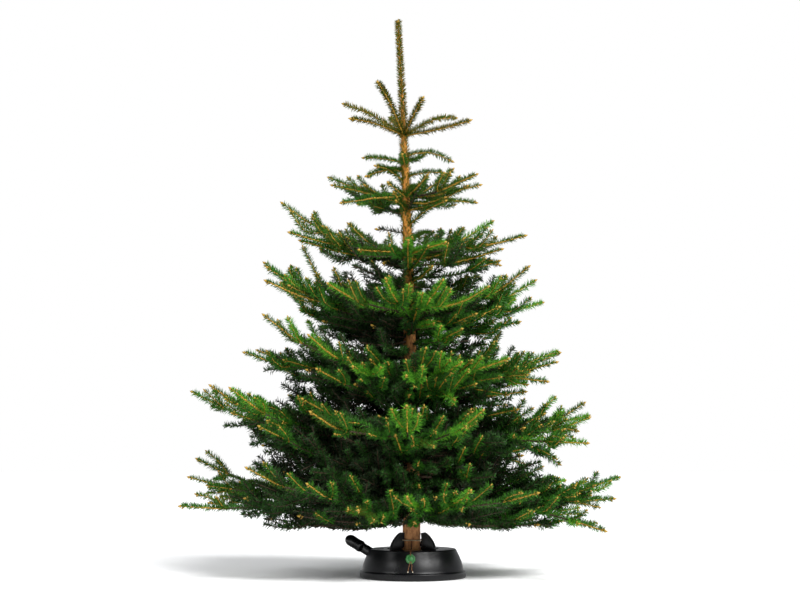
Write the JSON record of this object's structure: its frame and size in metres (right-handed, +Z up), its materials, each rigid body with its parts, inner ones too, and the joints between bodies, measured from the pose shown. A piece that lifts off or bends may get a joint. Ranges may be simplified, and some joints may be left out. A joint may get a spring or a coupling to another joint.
{
  "type": "spruce christmas tree in a stand",
  "caption": "Cut spruce Christmas tree with a straight tapering trunk, tiers of needle-clad boughs and a long leader, clamped in a round black stand with a foot lever.",
  "frame": {"origin": "middle of the stand's flat underside, on the floor", "axes": "+Z up the trunk, -Y the tree's front, +X to the right as seen from the front"},
  "size_m": [1.5392, 1.2415, 2.002],
  "materials": {
    "bark": "rough scaly bark",
    "needles": "mid to dark green needles",
    "young_needles": "olive green needles on orange-brown shoots",
    "stand_plastic": "satin moulded plastic",
    "claw_steel": "black lacquered steel",
    "cable_steel": "bare wire rope",
    "seal_wax": "green wax seal, blank"
  },
  "bodies": {
    "tree": {"claw_1": "claw_steel", "claw_2": "claw_steel", "claw_3": "claw_steel", "claw_cable": "cable_steel", "leader_shoot": "young_needles", "seal_tag": "seal_wax", "spur_shoot_1": "young_needles", "spur_shoot_2": "young_needles", "spur_shoot_3": "young_needles", "stand_base": "stand_plastic", "tier_2_back_mass": "needles", "tier_2_front_mass": "needles", "tier_2_left_mass": "needles", "tier_2_right_mass": "needles", "tier_3_back_left_mass": "needles", "tier_3_back_right_mass": "needles", "tier_3_front_mass": "needles", "tier_3_left_mass": "needles", "tier_3_right_mass": "needles", "tier_4_back_left_mass": "needles", "tier_4_back_right_mass": "needles", "tier_4_front_mass": "needles", "tier_4_left_mass": "needles", "tier_4_right_mass": "needles", "tier_5_back_mass": "needles", "tier_5_front_left_mass": "needles", "tier_5_front_right_mass": "needles", "tier_5_left_mass": "needles", "tier_5_right_mass": "needles", "tier_6_back_left_bough": "bark", "tier_6_back_left_mass": "needles", "tier_6_back_right_bough": "bark", "tier_6_back_right_mass": "needles", "tier_6_front_bough": "bark", "tier_6_front_mass": "needles", "tier_6_left_bough": "bark", "tier_6_left_mass": "needles", "tier_6_right_bough": "bark", "tier_6_right_mass": "needles", "tier_7_back_left_bough": "bark", "tier_7_back_left_mass": "needles", "tier_7_back_right_bough": "bark", "tier_7_back_right_mass": "needles", "tier_7_front_left_bough": "bark", "tier_7_front_left_mass": "needles", "tier_7_front_right_bough": "bark", "tier_7_front_right_mass": "needles", "tier_7_left_bough": "bark", "tier_7_left_mass": "needles", "tier_7_right_bough": "bark", "tier_7_right_mass": "needles", "top_shoot_1": "young_needles", "top_shoot_2": "young_needles", "top_shoot_3": "young_needles", "top_shoot_4": "young_needles", "top_shoot_5": "young_needles", "top_shoot_6": "young_needles", "top_shoot_7": "young_needles", "trunk": "bark"},
    "lever": {"foot_lever": "stand_plastic"}
  },
  "joints": [
    {"name": "lever_hinge", "type": "hinge", "parent": "tree", "child": "lever", "pos_m": [-0.118, 0, 0.068], "axis": [0, -1, 0], "range_deg": [0, 24], "stiffness_Nm_per_rad": 4, "springref_deg": -11.46}
  ]
}
